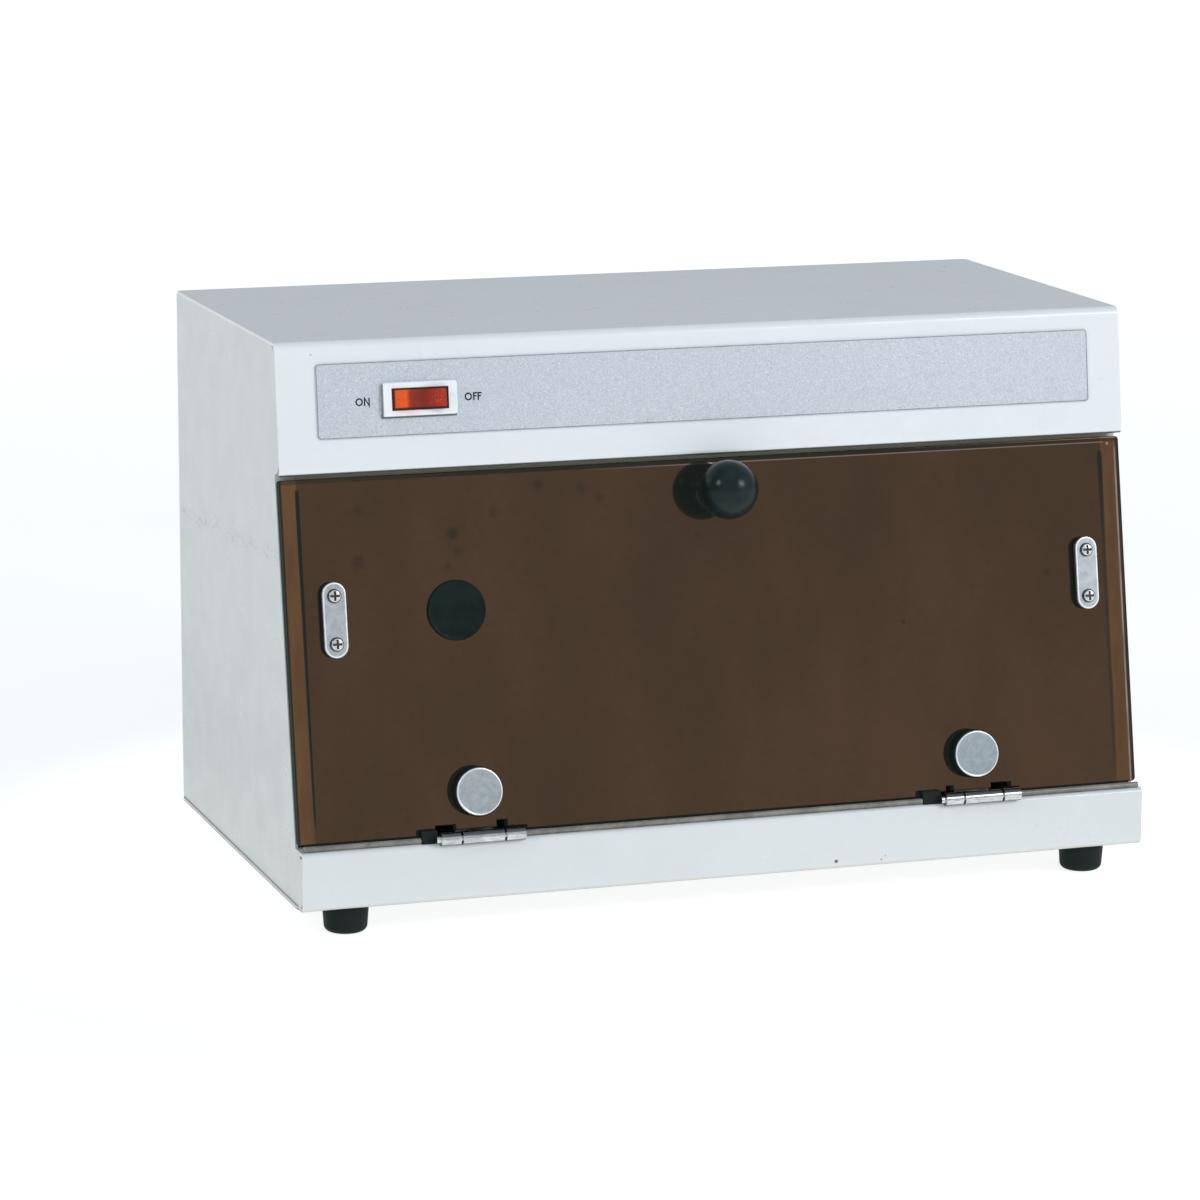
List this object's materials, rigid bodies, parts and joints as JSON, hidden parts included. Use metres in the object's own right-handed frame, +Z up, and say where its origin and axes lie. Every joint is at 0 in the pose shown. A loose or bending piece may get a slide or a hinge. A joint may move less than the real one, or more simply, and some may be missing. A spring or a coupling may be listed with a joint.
{
  "type": "uv sterilizer",
  "caption": "Bench-top ultraviolet sterilizer cabinet with a sloping drop-front smoked door, hinged at the sill, a lamp under the top and a rocker switch.",
  "frame": {"origin": "middle of the footprint, on the plane the rubber feet stand on", "axes": "+Z up, -Y towards the door, +X along the width to the right of someone facing the door"},
  "size_m": [0.368, 0.2114, 0.2365],
  "materials": {
    "white_enamel": "semi-gloss baked enamel, light grey-white",
    "inner_enamel": "gloss white enamel",
    "bright_aluminium": "polished sheet",
    "lamp_glass": "clear quartz-type glass",
    "cap_aluminium": "satin",
    "white_plastic": "moulded, satin gloss",
    "ballast_steel": "grey enamel",
    "starter_plastic": "moulded",
    "terminal_plastic": "natural nylon",
    "brass": "machined",
    "wire_red": "PVC insulation",
    "wire_dark": "PVC insulation",
    "black_plastic": "moulded, glossy black",
    "black_satin": "moulded, satin black",
    "switch_plastic": "moulded, off-white",
    "rocker_red": "translucent red, lit from inside",
    "label_silver": "silver foil face with a fine sparkle",
    "rubber_black": "moulded rubber",
    "chrome": "polished",
    "zinc_steel": "zinc plated",
    "brushed_plate": "brushed",
    "magnet_dark": "sintered ferrite",
    "rack_wire": "bright plated wire",
    "seal_grey": "extruded seal cord, satin",
    "black_steel": "blackened",
    "smoked_acrylic": "smoked brown, polished, nearly opaque"
  },
  "bodies": {
    "cabinet": {"back_panel": "white_enamel", "back_panel_screws": "zinc_steel", "ballast": "ballast_steel", "base_pan": "white_enamel", "catch_magnets": "magnet_dark", "catch_pole_plates": "zinc_steel", "catch_rivets": "zinc_steel", "divider_screws": "zinc_steel", "door_bumpers": "rubber_black", "foot_front_left": "rubber_black", "foot_front_right": "rubber_black", "foot_rear_left": "rubber_black", "foot_rear_right": "rubber_black", "foot_screws": "zinc_steel", "hinge_base_screws": "black_steel", "hinge_pins": "chrome", "inlet_pins": "brass", "inlet_screws": "zinc_steel", "label_plate": "label_silver", "lamp_divider": "inner_enamel", "left_catch_body": "black_satin", "left_hinge_base_leaf": "chrome", "left_lampholder": "white_plastic", "left_side_panel": "white_enamel", "power_inlet": "black_satin", "reflector": "bright_aluminium", "right_catch_body": "black_satin", "right_hinge_base_leaf": "chrome", "right_lampholder": "white_plastic", "right_side_panel": "white_enamel", "sill_seal": "seal_grey", "starter": "starter_plastic", "starter_socket": "white_plastic", "switch_blades": "brass", "switch_body": "switch_plastic", "terminal_block": "terminal_plastic", "terminal_screws": "brass", "tool_rack": "rack_wire", "top_cover": "white_enamel", "tube_end_caps": "cap_aluminium", "uv_tube": "lamp_glass", "wire_grommets": "rubber_black", "wiring_lamp": "wire_red", "wiring_mains": "wire_dark"},
    "door": {"door_panel": "smoked_acrylic", "door_knob": "black_plastic", "knob_screw": "zinc_steel", "port_plug": "black_satin", "left_hinge_cap": "brushed_plate", "right_hinge_cap": "brushed_plate", "hinge_gaskets": "rubber_black", "hinge_clamp_screws": "zinc_steel", "left_catch_plate": "brushed_plate", "right_catch_plate": "brushed_plate", "catch_plate_gaskets": "rubber_black", "strike_plates": "zinc_steel", "catch_plate_screws": "chrome", "left_hinge_door_leaf": "chrome", "right_hinge_door_leaf": "chrome"},
    "rocker": {"switch_rocker": "rocker_red"}
  },
  "joints": [
    {"name": "door_hinge", "type": "hinge", "parent": "cabinet", "child": "door", "pos_m": [0, -0.103, 0.0384], "axis": [1, 0, 0], "range_deg": [0, 100]},
    {"name": "rocker_tilt", "type": "hinge", "parent": "cabinet", "child": "rocker", "pos_m": [-0.1246, -0.06798, 0.21236], "axis": [0, 0.1347, 0.9909], "range_deg": [0, 14]}
  ]
}
